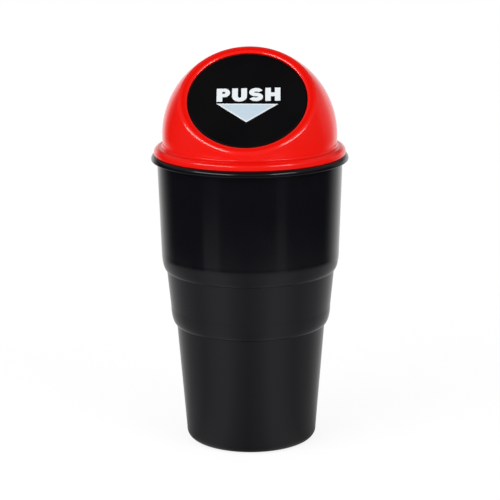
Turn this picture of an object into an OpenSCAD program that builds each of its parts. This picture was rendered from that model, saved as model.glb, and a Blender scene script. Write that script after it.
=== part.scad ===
// Cup-holder trash bin for a car: a stepped bucket, a lift-off dome lid,
// and a sprung round flap that swings inwards when it is pushed.
// The origin is the centre of the bucket's foot, +Z is up and the flap faces -Y.

/* [Bucket] */
// Height of the bucket, from the ground to the top of its rim
bin_height = 134.4; // [126:0.2:150]
// Diameter of the lower stage just above its rounded foot
base_d = 60.2; // [54:0.2:66]
// Radius of the rounded foot corner
base_corner = 4; // [2.5:0.1:6]
// Width of the flat ring that the bucket stands on
foot_width = 4; // [2:0.1:7]
// Height of the hollow under the floor
foot_recess = 1; // [0.5:0.1:1.5]
// Thickness of the floor
floor_wall = 1.6; // [1:0.1:2.5]
// Thickness of the side wall
bin_wall = 1.3; // [0.9:0.1:2]

/* [Bucket stages] */
// Height of the lower stage, from the ground to its crease
lower_height = 55; // [45:0.5:62]
// How far the lower stage widens on each side
lower_flare = 4.1; // [1:0.1:5]
// How far the middle stage stands out over the lower one
lower_ledge = 2.65; // [1.5:0.05:3.5]
// Height of the middle stage, from crease to crease
middle_height = 25.8; // [20:0.2:32]
// How far the middle stage widens on each side
middle_flare = 1.7; // [0.5:0.1:2.5]
// How far the upper stage stands out over the middle one
upper_ledge = 2.25; // [1.5:0.05:3.5]
// How far the upper stage widens on each side
upper_flare = 1.5; // [0.5:0.1:2.5]
// Height of the rounding under each stage
step_round = 8.5; // [5:0.5:12]

/* [Bucket rim] */
// How far the rolled rim stands out from the neck
rim_overhang = 2.7; // [2.2:0.1:4]
// Height of the rolled rim
rim_drop = 2.5; // [2:0.1:4]
// Thickness of the rolled rim
rim_wall = 1.2; // [0.9:0.1:1.6]
// Radius of the rim's rounded outer shoulder
rim_round = 2; // [1:0.1:2]

/* [Lid] */
// Distance from the rim's outer edge in to the dome's wall
dome_inset = 5.2; // [3.6:0.1:7]
// Height of the dome's centre above the rim
dome_lift = 8.6; // [7:0.2:12]
// Thickness of the dome
lid_wall = 1.4; // [1:0.1:2]
// Distance from the rim's outer edge in to the lid flange's edge
flange_setback = 1.3; // [0.6:0.1:1.6]
// Radius of the flange's rounded shoulder
flange_round = 3.2; // [2.6:0.1:5]
// Bevel under the flange's outer edge
flange_bevel = 0.4; // [0.3:0.1:1]
// How far the lid's plug skirt reaches into the bucket
skirt_depth = 8.4; // [5:0.2:12]
// Thickness of the plug skirt
skirt_wall = 1.4; // [1:0.1:2]
// Gap between the plug skirt's foot and the bucket's wall
lid_clearance = 0.2; // [0.15:0.05:0.5]

/* [Mouth] */
// Elevation that the flat of the dome faces
facet_tilt = 48; // [42:1:52]
// Depth that the flat takes off the dome
facet_cut = 14; // [12:0.1:16]
// Bevel between the flat and the dome
facet_bevel = 0.5; // [0.2:0.1:0.6]
// Width of the flat ring round the mouth
ring_width = 3.4; // [3:0.1:6]
// Thickness of that ring
ring_wall = 1.4; // [1:0.1:2]

/* [Flap] */
// Gap between the flap's disc and the mouth
flap_gap = 0.45; // [0.3:0.05:0.8]
// Depth of the disc's face under the ring's face
flap_recess = 0.6; // [0.2:0.1:1]
// Thickness of the disc
flap_wall = 1.6; // [1.2:0.1:2]
// How far the flap's stop lies under the ring
stop_overlap = 1.5; // [0.8:0.1:2]
// Thickness of the stop
stop_wall = 1.2; // [0.8:0.1:1.6]
// Gap between the closed flap's stop and the ring
stop_gap = 0.2; // [0.15:0.05:0.4]
// Width of the wall that carries the stop, behind the disc
stop_web = 1.3; // [1:0.1:2]
// Height above the disc's centre at which the stop ends
stop_top = 12; // [4:0.5:15]

/* [Hinge] */
// Diameter of the steel hinge pin
pin_d = 2; // [1.6:0.1:2.6]
// Distance of the pin in from the top of the mouth
pin_inset = 2.1; // [1.6:0.1:4]
// Running clearance of the pin in the flap's ears, on the radius
pin_clearance = 0.05; // [0.03:0.01:0.1]
// Clearance of the pin in the lid's lugs, on the radius
seat_clearance = 0.02; // [0.01:0.01:0.05]
// Material round the pin in the flap's ears
ear_web = 1.4; // [1:0.1:1.8]
// Thickness of each ear of the flap
ear_wall = 2.2; // [1.6:0.1:3]
// Thickness of each lug of the lid
lug_wall = 2.4; // [1.6:0.1:3]
// Gap between an ear and its lug
side_gap = 0.3; // [0.2:0.05:0.5]
// Gap that the swinging disc keeps from the lugs
swing_gap = 0.3; // [0.25:0.05:0.6]
// How far the pin stands out of the lugs at each end
pin_overhang = 0.6; // [0.3:0.1:1.2]

/* [Spring] */
// Diameter of the spring wire
wire_d = 0.6; // [0.5:0.05:0.8]
// Number of turns in the coil
turns = 6; // [4:1:7]
// Gap between two turns
turn_gap = 0.2; // [0.1:0.05:0.4]
// Gap between the pin and the coil
coil_slack = 0.6; // [0.3:0.05:0.8]
// Gap between the coil and the back of the disc
coil_rise = 0.6; // [0.4:0.05:0.8]
// Gap between the coil's ends and the flap's ears
coil_end_gap = 1.1; // [0.5:0.1:2]
// Length of the leg that pushes on the flap
flap_leg = 12; // [8:0.5:15]
// How far the other leg reaches under the ring
lid_leg = 2.2; // [1:0.1:2.6]
// Gap between a leg's tip and what it presses on
leg_gap = 0.05; // [0.03:0.01:0.1]
// Height of the two ribs that guide the flap's leg
guide_height = 1.5; // [1:0.1:2]
// Thickness of each guide rib
guide_wall = 0.9; // [0.7:0.1:1.2]
// Gap between a guide rib and the leg
guide_gap = 0.3; // [0.2:0.05:0.5]

/* [Arrow] */
// Width of the arrow's upper edge
arrow_w = 27.5; // [20:0.5:34]
// Length of the arrow, down to its tip
arrow_l = 10.3; // [7:0.1:15]
// Distance of its upper edge below the disc's centre
arrow_drop = 2.4; // [0:0.1:5]
// Sideways place of the printed mark
mark_shift = 0.1; // [-2:0.1:2]
// Height that the foil stands on the disc
foil_height = 0.25; // [0.15:0.05:0.4]

/* [Hidden] */
$fn = 96;
// Points on each quarter turn of a drawn arc
ARC = 10;
// Overlap that keeps a cut clear of the face it starts on
EPS = 0.01;
// How far a cut runs past what it cuts
OVERRUN = 1;

// Bucket radii and heights
base_r = base_d / 2;
lower_r = base_r + lower_flare;
middle_foot_r = lower_r + lower_ledge;
middle_r = middle_foot_r + middle_flare;
upper_foot_r = middle_r + upper_ledge;
neck_r = upper_foot_r + upper_flare;
rim_r = neck_r + rim_overhang;
middle_top_z = lower_height + middle_height;
upper_foot_z = middle_top_z + step_round;
rim_under_z = bin_height - rim_wall;
floor_top_z = foot_recess + floor_wall;
inner_corner = base_corner - bin_wall;

// Lid radii and heights
dome_r = rim_r - dome_inset;
dome_z = bin_height + dome_lift;
flange_r = rim_r - flange_setback;
flange_z = bin_height + flange_bevel;
flange_wall = lid_wall;
skirt_z = bin_height - skirt_depth;
skirt_r = bin_inner_r(skirt_z) - lid_clearance;
// Bevel that leads the skirt into the bucket
skirt_tip = 0.6;

// The flat of the dome, measured from the dome's centre along the way it faces
facet_z = dome_r - facet_cut;
facet_r = sqrt(dome_r * dome_r - facet_z * facet_z);
mouth_r = facet_r - ring_width;
ring_back_z = facet_z - ring_wall;

// The flap, in the same measure
flap_r = mouth_r - flap_gap;
face_z = facet_z - flap_recess;
back_z = face_z - flap_wall;
stop_z = ring_back_z - stop_gap;
stop_r = mouth_r + stop_overlap;

// The hinge and its spring
pin_r = pin_d / 2;
wire_r = wire_d / 2;
coil_r = pin_r + coil_slack + wire_r;
pin_rise = coil_r + wire_r + coil_rise;
pin_y = mouth_r - pin_inset;
pin_z = back_z - pin_rise;
ear_r = pin_r + ear_web;
lug_r = pin_rise - swing_gap;
turn_pitch = wire_d + turn_gap;
coil_length = turns * turn_pitch;
ear_x = coil_length / 2 + wire_r + coil_end_gap;
lug_x = ear_x + ear_wall + side_gap;
pin_length = 2 * (lug_x + lug_wall + pin_overhang);
pin_bevel = 0.2;

// Radius of the bucket's inner wall at a height on the upper stage
function bin_inner_r(z) =
    upper_foot_r - bin_wall + upper_flare * (z - upper_foot_z) / (bin_height - upper_foot_z);

// Points of an arc round [cx, cy], from one angle to another
function arc(cx, cy, r, from, to, n = ARC) =
    [for (i = [0:n]) let (a = from + (to - from) * i / n) [cx + r * cos(a), cy + r * sin(a)]];

// The soft rounding under a stage: flat at the crease, upright where the wall begins
function step_curve(r0, r1, z0, n = ARC) =
    [for (i = [0:n]) let (a = 90 * i / n)
        [r0 + (r1 - r0) * sin(a), z0 + step_round * (1 - cos(a))]];

// The stages above the rounded foot, drawn in by an inset for the inner wall
function stage_line(inset) = concat(
    step_curve(lower_r - inset, middle_foot_r - inset, lower_height),
    step_curve(middle_r - inset, upper_foot_r - inset, middle_top_z)
);

function reversed(points) = [for (i = [len(points) - 1:-1:0]) points[i]];

// Places what follows in the frame of the dome's flat: +Z out of the flat, +Y up its slope
module on_facet() {
    translate([0, 0, dome_z])
        rotate([90 - facet_tilt, 0, 0])
            children();
}

// A rod along X
module rod_x(r, length) {
    rotate([0, 90, 0])
        cylinder(r = r, h = length, center = true);
}

// Section of the bucket: foot, three stages and rolled rim outside, plain wall inside
module bin_section() {
    foot_outer = base_r - base_corner;
    foot_inner = foot_outer - foot_width;
    lip_r = rim_r - rim_wall;
    inner_top = neck_r - bin_wall;
    edge = 0.4;
    shoulder = min(rim_round, rim_drop - edge - EPS);
    outer = concat(
        [[0, foot_recess], [foot_inner - foot_recess, foot_recess], [foot_inner, 0]],
        arc(foot_outer, base_corner, base_corner, -90, 0),
        stage_line(0),
        [[neck_r, rim_under_z], [lip_r, rim_under_z], [lip_r, bin_height - rim_drop]],
        arc(rim_r - edge, bin_height - rim_drop + edge, edge, -90, 0, 3),
        arc(rim_r - shoulder, bin_height - shoulder, shoulder, 0, 90),
        arc(inner_top + edge, bin_height - edge, edge, 90, 180, 3)
    );
    inner = concat(
        reversed(stage_line(bin_wall)),
        reversed(arc(foot_outer, floor_top_z + inner_corner, inner_corner, -90, 0)),
        [[0, floor_top_z]]
    );
    polygon(concat(outer, inner));
}

module bin_body() {
    color([0.07, 0.07, 0.075])
        rotate_extrude()
            bin_section();
}

// Outline of the flange, its lip and the plug skirt: the dome crosses its rounded shoulder
module flange_section() {
    round_r = flange_r - flange_round;
    under_r = flange_round - flange_wall;
    roof_angle = round_r < skirt_r ? acos(min(1, (skirt_r - round_r) / under_r)) : 90;
    polygon(concat(
        [[0, skirt_z], [skirt_r - skirt_tip, skirt_z], [skirt_r, skirt_z + 2 * skirt_tip]],
        reversed(arc(round_r, flange_z, under_r, 0, roof_angle)),
        [[flange_r - flange_wall, bin_height], [flange_r - flange_bevel, bin_height]],
        arc(round_r, flange_z, flange_round, 0, 90),
        [[0, flange_z + flange_round]]
    ));
}

// Outline of the hollow inside the skirt, drawn in at the top so that it ends inside the dome
module skirt_hollow_section() {
    skirt_inner = skirt_r - skirt_wall;
    polygon([
        [0, skirt_z - OVERRUN],
        [skirt_inner, skirt_z - OVERRUN],
        [skirt_inner, flange_z],
        [dome_r - 2 * lid_wall, flange_z + flange_round],
        [0, flange_z + flange_round]
    ]);
}

// The part of a ball round the dome's centre that lies above the flange's lower edge
module dome_ball(r) {
    intersection() {
        translate([0, 0, dome_z])
            sphere(r = r);
        translate([0, 0, flange_z])
            cylinder(r = 2 * dome_r, h = 2 * dome_r + dome_z - flange_z);
    }
}

// Everything behind a plane across the flat's axis
module under_flat(z) {
    translate([0, 0, z - 3 * dome_r])
        cylinder(r = 2 * dome_r, h = 3 * dome_r);
}

// Everything behind the flat and its bevelled edge
module bevelled_flat() {
    edge_z = facet_z - facet_bevel;
    rotate_extrude()
        polygon([
            [0, -2 * dome_r],
            [2 * dome_r, -2 * dome_r],
            [2 * dome_r, edge_z],
            [facet_r + 2 * facet_bevel, edge_z],
            [facet_r - facet_bevel, facet_z],
            [0, facet_z]
        ]);
}

// The two lugs that hold the pin, rooted in the dome behind the ring
module lid_lugs() {
    root_y = mouth_r + side_gap;
    for (side = [-1, 1])
        translate([side * (lug_x + lug_wall / 2), 0, 0]) {
            translate([0, pin_y, pin_z])
                rod_x(lug_r, lug_wall);
            translate([-lug_wall / 2, pin_y, pin_z - lug_r])
                cube([lug_wall, dome_r, 2 * lug_r]);
            translate([-lug_wall / 2, root_y, pin_z])
                cube([lug_wall, dome_r, facet_z - ring_wall / 2 - pin_z]);
        }
}

module lid_outside() {
    intersection() {
        union() {
            dome_ball(dome_r);
            rotate_extrude()
                flange_section();
        }
        on_facet()
            bevelled_flat();
    }
}

module lid_hollow() {
    intersection() {
        union() {
            dome_ball(dome_r - lid_wall);
            rotate_extrude()
                skirt_hollow_section();
        }
        on_facet()
            under_flat(ring_back_z);
    }
}

module dome_lid() {
    color([0.83, 0.03, 0.02])
        difference() {
            union() {
                difference() {
                    lid_outside();
                    lid_hollow();
                }
                intersection() {
                    translate([0, 0, dome_z])
                        sphere(r = dome_r - lid_wall / 2);
                    on_facet()
                        lid_lugs();
                }
            }
            on_facet() {
                translate([0, 0, ring_back_z - EPS])
                    cylinder(r = mouth_r, h = ring_wall + OVERRUN);
                translate([0, pin_y, pin_z])
                    rod_x(pin_r + seat_clearance, pin_length + 2 * OVERRUN);
            }
        }
}

// The stop: a ledge behind the ring, round the lower part of the disc
module flap_stop() {
    intersection() {
        difference() {
            union() {
                translate([0, 0, stop_z - stop_wall])
                    cylinder(r = stop_r, h = stop_wall);
                translate([0, 0, stop_z - stop_wall])
                    cylinder(r = flap_r, h = face_z - flap_wall / 2 - stop_z + stop_wall);
            }
            translate([0, 0, stop_z - stop_wall - OVERRUN])
                cylinder(r = flap_r - stop_web, h = stop_wall + facet_z);
        }
        translate([-dome_r, -dome_r, 0])
            cube([2 * dome_r, dome_r + stop_top, dome_r]);
    }
}

// The two ears that turn on the pin
module flap_ears() {
    for (side = [-1, 1])
        translate([side * (ear_x + ear_wall / 2), pin_y, 0]) {
            translate([0, 0, pin_z])
                rod_x(ear_r, ear_wall);
            translate([-ear_wall / 2, -ear_r, pin_z])
                cube([ear_wall, ear_r + pin_r / 2, pin_rise + flap_wall / 2]);
        }
}

// Two ribs behind the disc, with the spring's leg between them
module spring_guide() {
    guide_l = flap_leg / 2;
    leg_x = -coil_length / 2;
    for (side = [-1, 1])
        translate([
            leg_x + side * (wire_r + guide_gap + guide_wall / 2) - guide_wall / 2,
            pin_y - flap_leg,
            back_z - guide_height
        ])
            cube([guide_wall, guide_l, guide_height + flap_wall / 2]);
}

module push_flap() {
    color([0.055, 0.055, 0.06])
        on_facet()
            difference() {
                union() {
                    translate([0, 0, back_z])
                        cylinder(r = flap_r, h = flap_wall);
                    flap_stop();
                    flap_ears();
                    spring_guide();
                }
                translate([0, pin_y, pin_z])
                    rod_x(pin_r + pin_clearance, pin_length + 2 * OVERRUN);
            }
}

// Silver foil arrow on the face of the disc, pointing to where the flap is pushed
module push_arrow() {
    color([0.78, 0.83, 0.87])
        on_facet()
            translate([mark_shift, -arrow_drop, face_z])
                linear_extrude(height = foil_height)
                    polygon([[-arrow_w / 2, 0], [0, -arrow_l], [arrow_w / 2, 0]]);
}

module hinge_pin() {
    color([0.72, 0.73, 0.75])
        on_facet()
            translate([0, pin_y, pin_z])
                rotate([0, 90, 0])
                    rotate_extrude()
                        polygon([
                            [0, -pin_length / 2],
                            [pin_r - pin_bevel, -pin_length / 2],
                            [pin_r, -pin_length / 2 + pin_bevel],
                            [pin_r, pin_length / 2 - pin_bevel],
                            [pin_r - pin_bevel, pin_length / 2],
                            [0, pin_length / 2]
                        ]);
}

// Steps in each turn of the coil, and sides of the wire
COIL_STEPS = 14;
WIRE_SIDES = 8;

// Line of the spring wire: the flap's leg, the turns round the pin, then the lid's leg
function wire_line() =
    let (
        leg_z = pin_z + coil_r,
        flap_tip = [-coil_length / 2, pin_y - flap_leg, back_z - wire_r - leg_gap],
        lid_tip = [coil_length / 2, mouth_r + lid_leg, ring_back_z - wire_r - leg_gap]
    )
    concat(
        [flap_tip],
        [for (i = [0:turns * COIL_STEPS])
            let (a = 90 - 360 * i / COIL_STEPS)
            [
                -coil_length / 2 + turn_pitch * i / COIL_STEPS,
                pin_y + coil_r * cos(a),
                pin_z + coil_r * sin(a)
            ]],
        [lid_tip]
    );

function unit(v) = v / norm(v);

// Ring of points round point i of a line, square to it, with X kept as the reference
function wire_ring(line, i) =
    let (
        last = len(line) - 1,
        along = unit(line[min(i + 1, last)] - line[max(i - 1, 0)]),
        side = unit([1, 0, 0] - along * along[0]),
        up = cross(along, side)
    )
    [for (k = [0:WIRE_SIDES - 1])
        let (a = 360 * k / WIRE_SIDES)
        line[i] + wire_r * (cos(a) * side + sin(a) * up)];

module torsion_spring() {
    line = wire_line();
    rings = len(line);
    points = [for (i = [0:rings - 1]) each wire_ring(line, i)];
    faces = concat(
        [[for (k = [0:WIRE_SIDES - 1]) k]],
        [for (i = [0:rings - 2], k = [0:WIRE_SIDES - 1])
            let (n = (k + 1) % WIRE_SIDES)
            [
                i * WIRE_SIDES + k,
                (i + 1) * WIRE_SIDES + k,
                (i + 1) * WIRE_SIDES + n,
                i * WIRE_SIDES + n
            ]],
        [[for (k = [WIRE_SIDES - 1:-1:0]) (rings - 1) * WIRE_SIDES + k]]
    );
    color([0.62, 0.64, 0.66])
        on_facet()
            polyhedron(points = points, faces = faces, convexity = 6);
}

bin_body();
dome_lid();
push_flap();
push_arrow();
hinge_pin();
torsion_spring();
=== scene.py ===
# Cup-holder trash bin for a car, dressed for its photograph.
# Metres throughout: the foot's centre is the origin, +Z is up and the flap faces -Y.

import bpy
import numpy as np
from mathutils import Euler, Matrix


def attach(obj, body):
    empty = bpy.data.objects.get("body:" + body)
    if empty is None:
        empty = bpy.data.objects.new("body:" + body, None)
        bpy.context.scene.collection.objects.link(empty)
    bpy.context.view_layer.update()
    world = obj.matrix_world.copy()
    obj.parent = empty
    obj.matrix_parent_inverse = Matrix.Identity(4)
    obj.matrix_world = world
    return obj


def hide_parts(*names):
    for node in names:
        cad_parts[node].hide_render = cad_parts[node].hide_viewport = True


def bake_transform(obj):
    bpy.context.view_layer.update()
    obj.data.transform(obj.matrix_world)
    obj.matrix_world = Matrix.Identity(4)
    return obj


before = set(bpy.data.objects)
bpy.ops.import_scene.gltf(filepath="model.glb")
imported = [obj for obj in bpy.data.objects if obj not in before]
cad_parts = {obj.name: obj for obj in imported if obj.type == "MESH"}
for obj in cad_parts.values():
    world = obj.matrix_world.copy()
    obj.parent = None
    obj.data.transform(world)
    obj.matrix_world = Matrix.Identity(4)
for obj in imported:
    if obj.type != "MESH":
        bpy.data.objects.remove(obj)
scene = bpy.context.scene
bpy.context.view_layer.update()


# The camera. It stands just under a metre away, a little to the right of
# the flap's middle, and looks down on the bin by nearly fourteen degrees.
CAMERA_REACH = 0.9338
CAMERA_HEIGHT = 0.3154
CAMERA_AZIMUTH = np.radians(3.5)
CAMERA_PITCH = np.radians(13.635)
CAMERA_ROLL = np.radians(-0.35)
CAMERA_LENS = 150.15
CAMERA_SHIFT = -0.0008

camera_data = bpy.data.cameras.new("camera")
camera_data.sensor_width = 36.0
camera_data.lens = CAMERA_LENS
camera_data.shift_x = CAMERA_SHIFT
camera_data.clip_start = 0.05
camera_data.clip_end = 20.0
camera = bpy.data.objects.new("camera", camera_data)
turn = Matrix.Rotation(CAMERA_AZIMUTH, 4, "Z")
tip = Matrix.Rotation(np.pi / 2 - CAMERA_PITCH, 4, "X")
lean = Matrix.Rotation(CAMERA_ROLL, 4, "Z")
stand = Matrix.Translation((
    CAMERA_REACH * np.sin(CAMERA_AZIMUTH),
    -CAMERA_REACH * np.cos(CAMERA_AZIMUTH),
    CAMERA_HEIGHT,
))
camera.matrix_world = stand @ turn @ tip @ lean
scene.collection.objects.link(camera)
scene.camera = camera
scene.view_settings.view_transform = "Standard"


# The studio. A white backdrop wraps round the back and the sides, the side that
# the flap faces is left dark, and the light that fills in is strongest low down.
def ramp(tree, value, stops):
    """Value put through a colour ramp: each stop is a place from 0 to 1 and a grey level."""
    node = tree.nodes.new("ShaderNodeValToRGB")
    node.color_ramp.interpolation = "LINEAR"
    elements = node.color_ramp.elements
    while len(elements) < len(stops):
        elements.new(0.5)
    for element, (at, level) in zip(elements, stops):
        element.position = at
        element.color = (level, level, level, 1.0)
    tree.links.new(value, node.inputs["Fac"])
    return node.outputs["Color"]


def maths(tree, operation, *values):
    """Result of a maths node: each value is a number or a socket, in the order of its inputs."""
    node = tree.nodes.new("ShaderNodeMath")
    node.operation = operation
    for socket, value in zip(node.inputs, values):
        if isinstance(value, bpy.types.NodeSocket):
            tree.links.new(value, socket)
        else:
            socket.default_value = value
    return node.outputs[0]


def carried(tree, value, start=0.0, end=1.0, low=0.0, high=1.0):
    """Value carried in a straight line, from low at the start to high at the end, and held beyond."""
    node = tree.nodes.new("ShaderNodeMapRange")
    node.inputs["From Min"].default_value = start
    node.inputs["From Max"].default_value = end
    node.inputs["To Min"].default_value = low
    node.inputs["To Max"].default_value = high
    tree.links.new(value, node.inputs["Value"])
    return node.outputs["Result"]


def white_background(tree, strength):
    """White light from all round, of a strength that is a number or a socket."""
    node = tree.nodes.new("ShaderNodeBackground")
    node.inputs["Color"].default_value = (1.0, 1.0, 1.0, 1.0)
    if isinstance(strength, bpy.types.NodeSocket):
        tree.links.new(strength, node.inputs["Strength"])
    else:
        node.inputs["Strength"].default_value = strength
    return node.outputs[0]


def mixed_light(tree, share, first, second):
    """Two lights mixed: none of the second at a share of 0, and all of it at 1."""
    node = tree.nodes.new("ShaderNodeMixShader")
    tree.links.new(share, node.inputs["Fac"])
    tree.links.new(first, node.inputs[1])
    tree.links.new(second, node.inputs[2])
    return node.outputs[0]


FILL_LOW, FILL_HIGH = 1.29, 0.05
# Heights of a direction, as Z: where the backdrop's edge turns sharp, and where it fades out
SHARP_START, SHARP_END = -0.235, -0.175
FADE_START, FADE_END, FADED = 0.12, 0.34, 0.05
GLOW_WAY = (0.760, 0.638, 0.122)
GLOW_EDGE, GLOW_LEVEL = 0.932, 0.3

world = bpy.data.worlds.new("studio")
world.use_nodes = True
scene.world = world
tree = world.node_tree
tree.nodes.clear()
way = tree.nodes.new("ShaderNodeTexCoord")
parts = tree.nodes.new("ShaderNodeSeparateXYZ")
tree.links.new(way.outputs["Generated"], parts.inputs["Vector"])
upwards = parts.outputs["Z"]
# Backdrop by how far a direction points to the back: from -1, the front, to 1. Level
# with the dome it begins sharply, under that softly, and it fades out higher up
depth = carried(tree, parts.outputs["Y"], -1.0)
soft_backdrop = ramp(tree, depth, [
    (0.0, 0.0), (0.69, 0.0), (0.75, 0.07), (0.81, 0.28),
    (0.86, 0.54), (0.905, 0.76), (0.95, 0.88), (1.0, 1.0),
])
sharp_backdrop = ramp(tree, depth, [
    (0.0, 0.0), (0.79, 0.0), (0.815, 0.05), (0.854, 0.18),
    (0.889, 0.43), (0.91, 0.75), (0.93, 1.0), (1.0, 1.0),
])
backdrop = tree.nodes.new("ShaderNodeMix")
tree.links.new(carried(tree, upwards, SHARP_START, SHARP_END), backdrop.inputs["Factor"])
tree.links.new(soft_backdrop, backdrop.inputs["A"])
tree.links.new(sharp_backdrop, backdrop.inputs["B"])
top_edge = carried(tree, upwards, FADE_START, FADE_END, 1.0, FADED)
faded_backdrop = maths(tree, "MULTIPLY", backdrop.outputs["Result"], top_edge)
# A dim sheet over the camera, by how far a direction points up
overhead = ramp(tree, upwards, [
    (0.0, 0.0), (0.30, 0.0), (0.45, 0.18), (0.80, 0.18), (0.93, 0.0), (1.0, 0.0),
])
mirror_light = maths(tree, "MAXIMUM", faded_backdrop, overhead)
# A faint glow beside the backdrop on the right: its light grows with how far a
# direction's cosine lies inside its edge
towards = tree.nodes.new("ShaderNodeVectorMath")
towards.operation = "DOT_PRODUCT"
towards.inputs[1].default_value = GLOW_WAY
tree.links.new(way.outputs["Generated"], towards.inputs[0])
inward = carried(tree, towards.outputs["Value"], GLOW_EDGE)
with_glow = maths(tree, "MULTIPLY_ADD", inward, GLOW_LEVEL, mirror_light)
fill_level = carried(tree, upwards, low=FILL_LOW, high=FILL_HIGH)
# Gloss mirrors the backdrop, the camera sees plain white and all else gets the fill
rays = tree.nodes.new("ShaderNodeLightPath")
shiny = maths(tree, "MAXIMUM", rays.outputs["Is Glossy Ray"], rays.outputs["Is Transmission Ray"])
fill = white_background(tree, fill_level)
mirrored = white_background(tree, with_glow)
seen = white_background(tree, 1.0)
lit = mixed_light(tree, shiny, fill, mirrored)
world_out = tree.nodes.new("ShaderNodeOutputWorld")
tree.links.new(
    mixed_light(tree, rays.outputs["Is Camera Ray"], lit, seen), world_out.inputs["Surface"]
)


# The table. A round pale sheet that the bin stands on: it is as white as the
# backdrop to the camera and keeps the bin's soft shadow. To the bin's gloss it
# glows more or less by the way round, a painted reflection.
def grid_mesh(name, grid, close_rows=False, poles=(False, False)):
    """Mesh of a grid of points: each cell of four neighbours is a face.

    The columns join round, and so do the rows where they are closed. A pole
    row is one point, so its cells are triangles. A face turns from its row's
    direction of columns towards the next row, which gives its outer side.
    """
    rows, cols = grid.shape[:2]
    index = np.arange(rows * cols).reshape(rows, cols)
    if poles[0]:
        index[0] = index[0, 0]
    if poles[1]:
        index[-1] = index[-1, 0]
    used, index = np.unique(index, return_inverse=True)
    index = index.reshape(rows, cols)
    here = index if close_rows else index[:-1]
    above = np.roll(index, -1, axis=0) if close_rows else index[1:]
    cells = np.stack(
        [here, np.roll(here, -1, axis=1), np.roll(above, -1, axis=1), above], axis=-1
    )
    faces = []
    if poles[0]:
        faces += cells[0][:, [0, 2, 3]].tolist()
        cells = cells[1:]
    if poles[1]:
        faces += cells[-1][:, [0, 1, 2]].tolist()
        cells = cells[:-1]
    faces += cells.reshape(-1, 4).tolist()
    mesh = bpy.data.meshes.new(name)
    mesh.from_pydata(grid.reshape(-1, 3)[used].tolist(), [], faces)
    mesh.shade_smooth()
    mesh.update()
    return mesh


def place(mesh, *materials):
    """Object of a mesh, at the origin, with its materials."""
    item = bpy.data.objects.new(mesh.name, mesh)
    for material in materials:
        mesh.materials.append(material)
    scene.collection.objects.link(item)
    return item


MM = 0.001
TABLE_R = 300 * MM
TABLE_DROP = 0.05 * MM
TABLE_GREY = 0.26
TABLE_CAMERA_LIFT = 0.84

around = np.linspace(0, 2 * np.pi, 96, endpoint=False)
across = np.linspace(0, TABLE_R, 13)
table_grid = np.stack([
    across[:, None] * np.cos(around),
    across[:, None] * np.sin(around),
    np.full((across.size, around.size), -TABLE_DROP),
], axis=-1)
table_mesh = grid_mesh("table", table_grid, poles=(True, False))
pale = bpy.data.materials.new("pale_table")
pale.use_nodes = True
tree = pale.node_tree
tree.nodes.clear()
matt = tree.nodes.new("ShaderNodeBsdfDiffuse")
matt.inputs["Color"].default_value = (TABLE_GREY, TABLE_GREY, TABLE_GREY, 1.0)
# Painted reflection: a glow on the table that only glossy rays see, by the way round from the front, 0,
# to the back, 1
spot = tree.nodes.new("ShaderNodeTexCoord")
split = tree.nodes.new("ShaderNodeSeparateXYZ")
tree.links.new(spot.outputs["Object"], split.inputs["Vector"])
sideways = maths(tree, "ABSOLUTE", split.outputs["X"])
forwards = maths(tree, "MULTIPLY", split.outputs["Y"], -1.0)
way_round = maths(tree, "ARCTAN2", sideways, forwards)
sheen = ramp(tree, maths(tree, "DIVIDE", way_round, np.pi), [
    (0.0, 0.05), (0.08, 0.12), (0.17, 0.27), (0.25, 0.25),
    (0.38, 0.09), (0.56, 0.15), (0.78, 0.45), (1.0, 0.6),
])
rays = tree.nodes.new("ShaderNodeLightPath")
gloss_lift = maths(tree, "MULTIPLY", rays.outputs["Is Glossy Ray"], sheen)
lift = maths(tree, "MULTIPLY_ADD", rays.outputs["Is Camera Ray"], TABLE_CAMERA_LIFT, gloss_lift)
glow = tree.nodes.new("ShaderNodeEmission")
tree.links.new(lift, glow.inputs["Strength"])
both = tree.nodes.new("ShaderNodeAddShader")
tree.links.new(matt.outputs[0], both.inputs[0])
tree.links.new(glow.outputs[0], both.inputs[1])
out = tree.nodes.new("ShaderNodeOutputMaterial")
tree.links.new(both.outputs[0], out.inputs["Surface"])
table = place(table_mesh, pale)


# The lamps. A wide, low soft box hangs above and to either side of the camera, and
# a dim reflector stands lower than the table on each side.
def lamp(name, azimuth, elevation, distance, width, height, level, aim_z):
    """Soft box that faces a point on the bin's axis: azimuth goes round from the front to +X.

    The level is its radiance, so its power is that times pi and its area.
    """
    data = bpy.data.lights.new(name, "AREA")
    data.shape = "RECTANGLE"
    data.size = width
    data.size_y = height
    data.energy = level * np.pi * width * height
    a, e = np.radians(azimuth), np.radians(elevation)
    item = bpy.data.objects.new(name, data)
    item.location = (
        distance * np.cos(e) * np.sin(a),
        -distance * np.cos(e) * np.cos(a),
        aim_z + distance * np.sin(e),
    )
    item.rotation_euler = Euler((np.pi / 2 - e, 0.0, a))
    scene.collection.objects.link(item)


BOX_AIM, STRIP_AIM = 0.1, 0.02
BOX_HEIGHT, STRIP_HEIGHT = 0.1, 0.3
STRIP_LEVEL = 0.3

lamp("left_box", -46, 40, 1.2, 0.96, BOX_HEIGHT, 12.5, BOX_AIM)
lamp("right_box", 47, 40, 1.2, 0.56, BOX_HEIGHT, 13.5, BOX_AIM)
lamp("left_strip", -47, -20, 1.1, 0.42, STRIP_HEIGHT, STRIP_LEVEL, STRIP_AIM)
lamp("right_strip", 43, -20, 1.1, 0.24, STRIP_HEIGHT, STRIP_LEVEL, STRIP_AIM)


# The bucket. One moulding of black polypropylene in three tapering stages,
# with a soft rounding under each step, a rolled rim and a flat foot ring.
def arc_points(x, z, radius, start, end, count):
    """Points of an arc: centre plus radius times the cosine and sine of evenly spaced degrees."""
    a = np.radians(np.linspace(start, end, count))
    return np.stack([x + radius * np.cos(a), z + radius * np.sin(a)], axis=-1)


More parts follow.
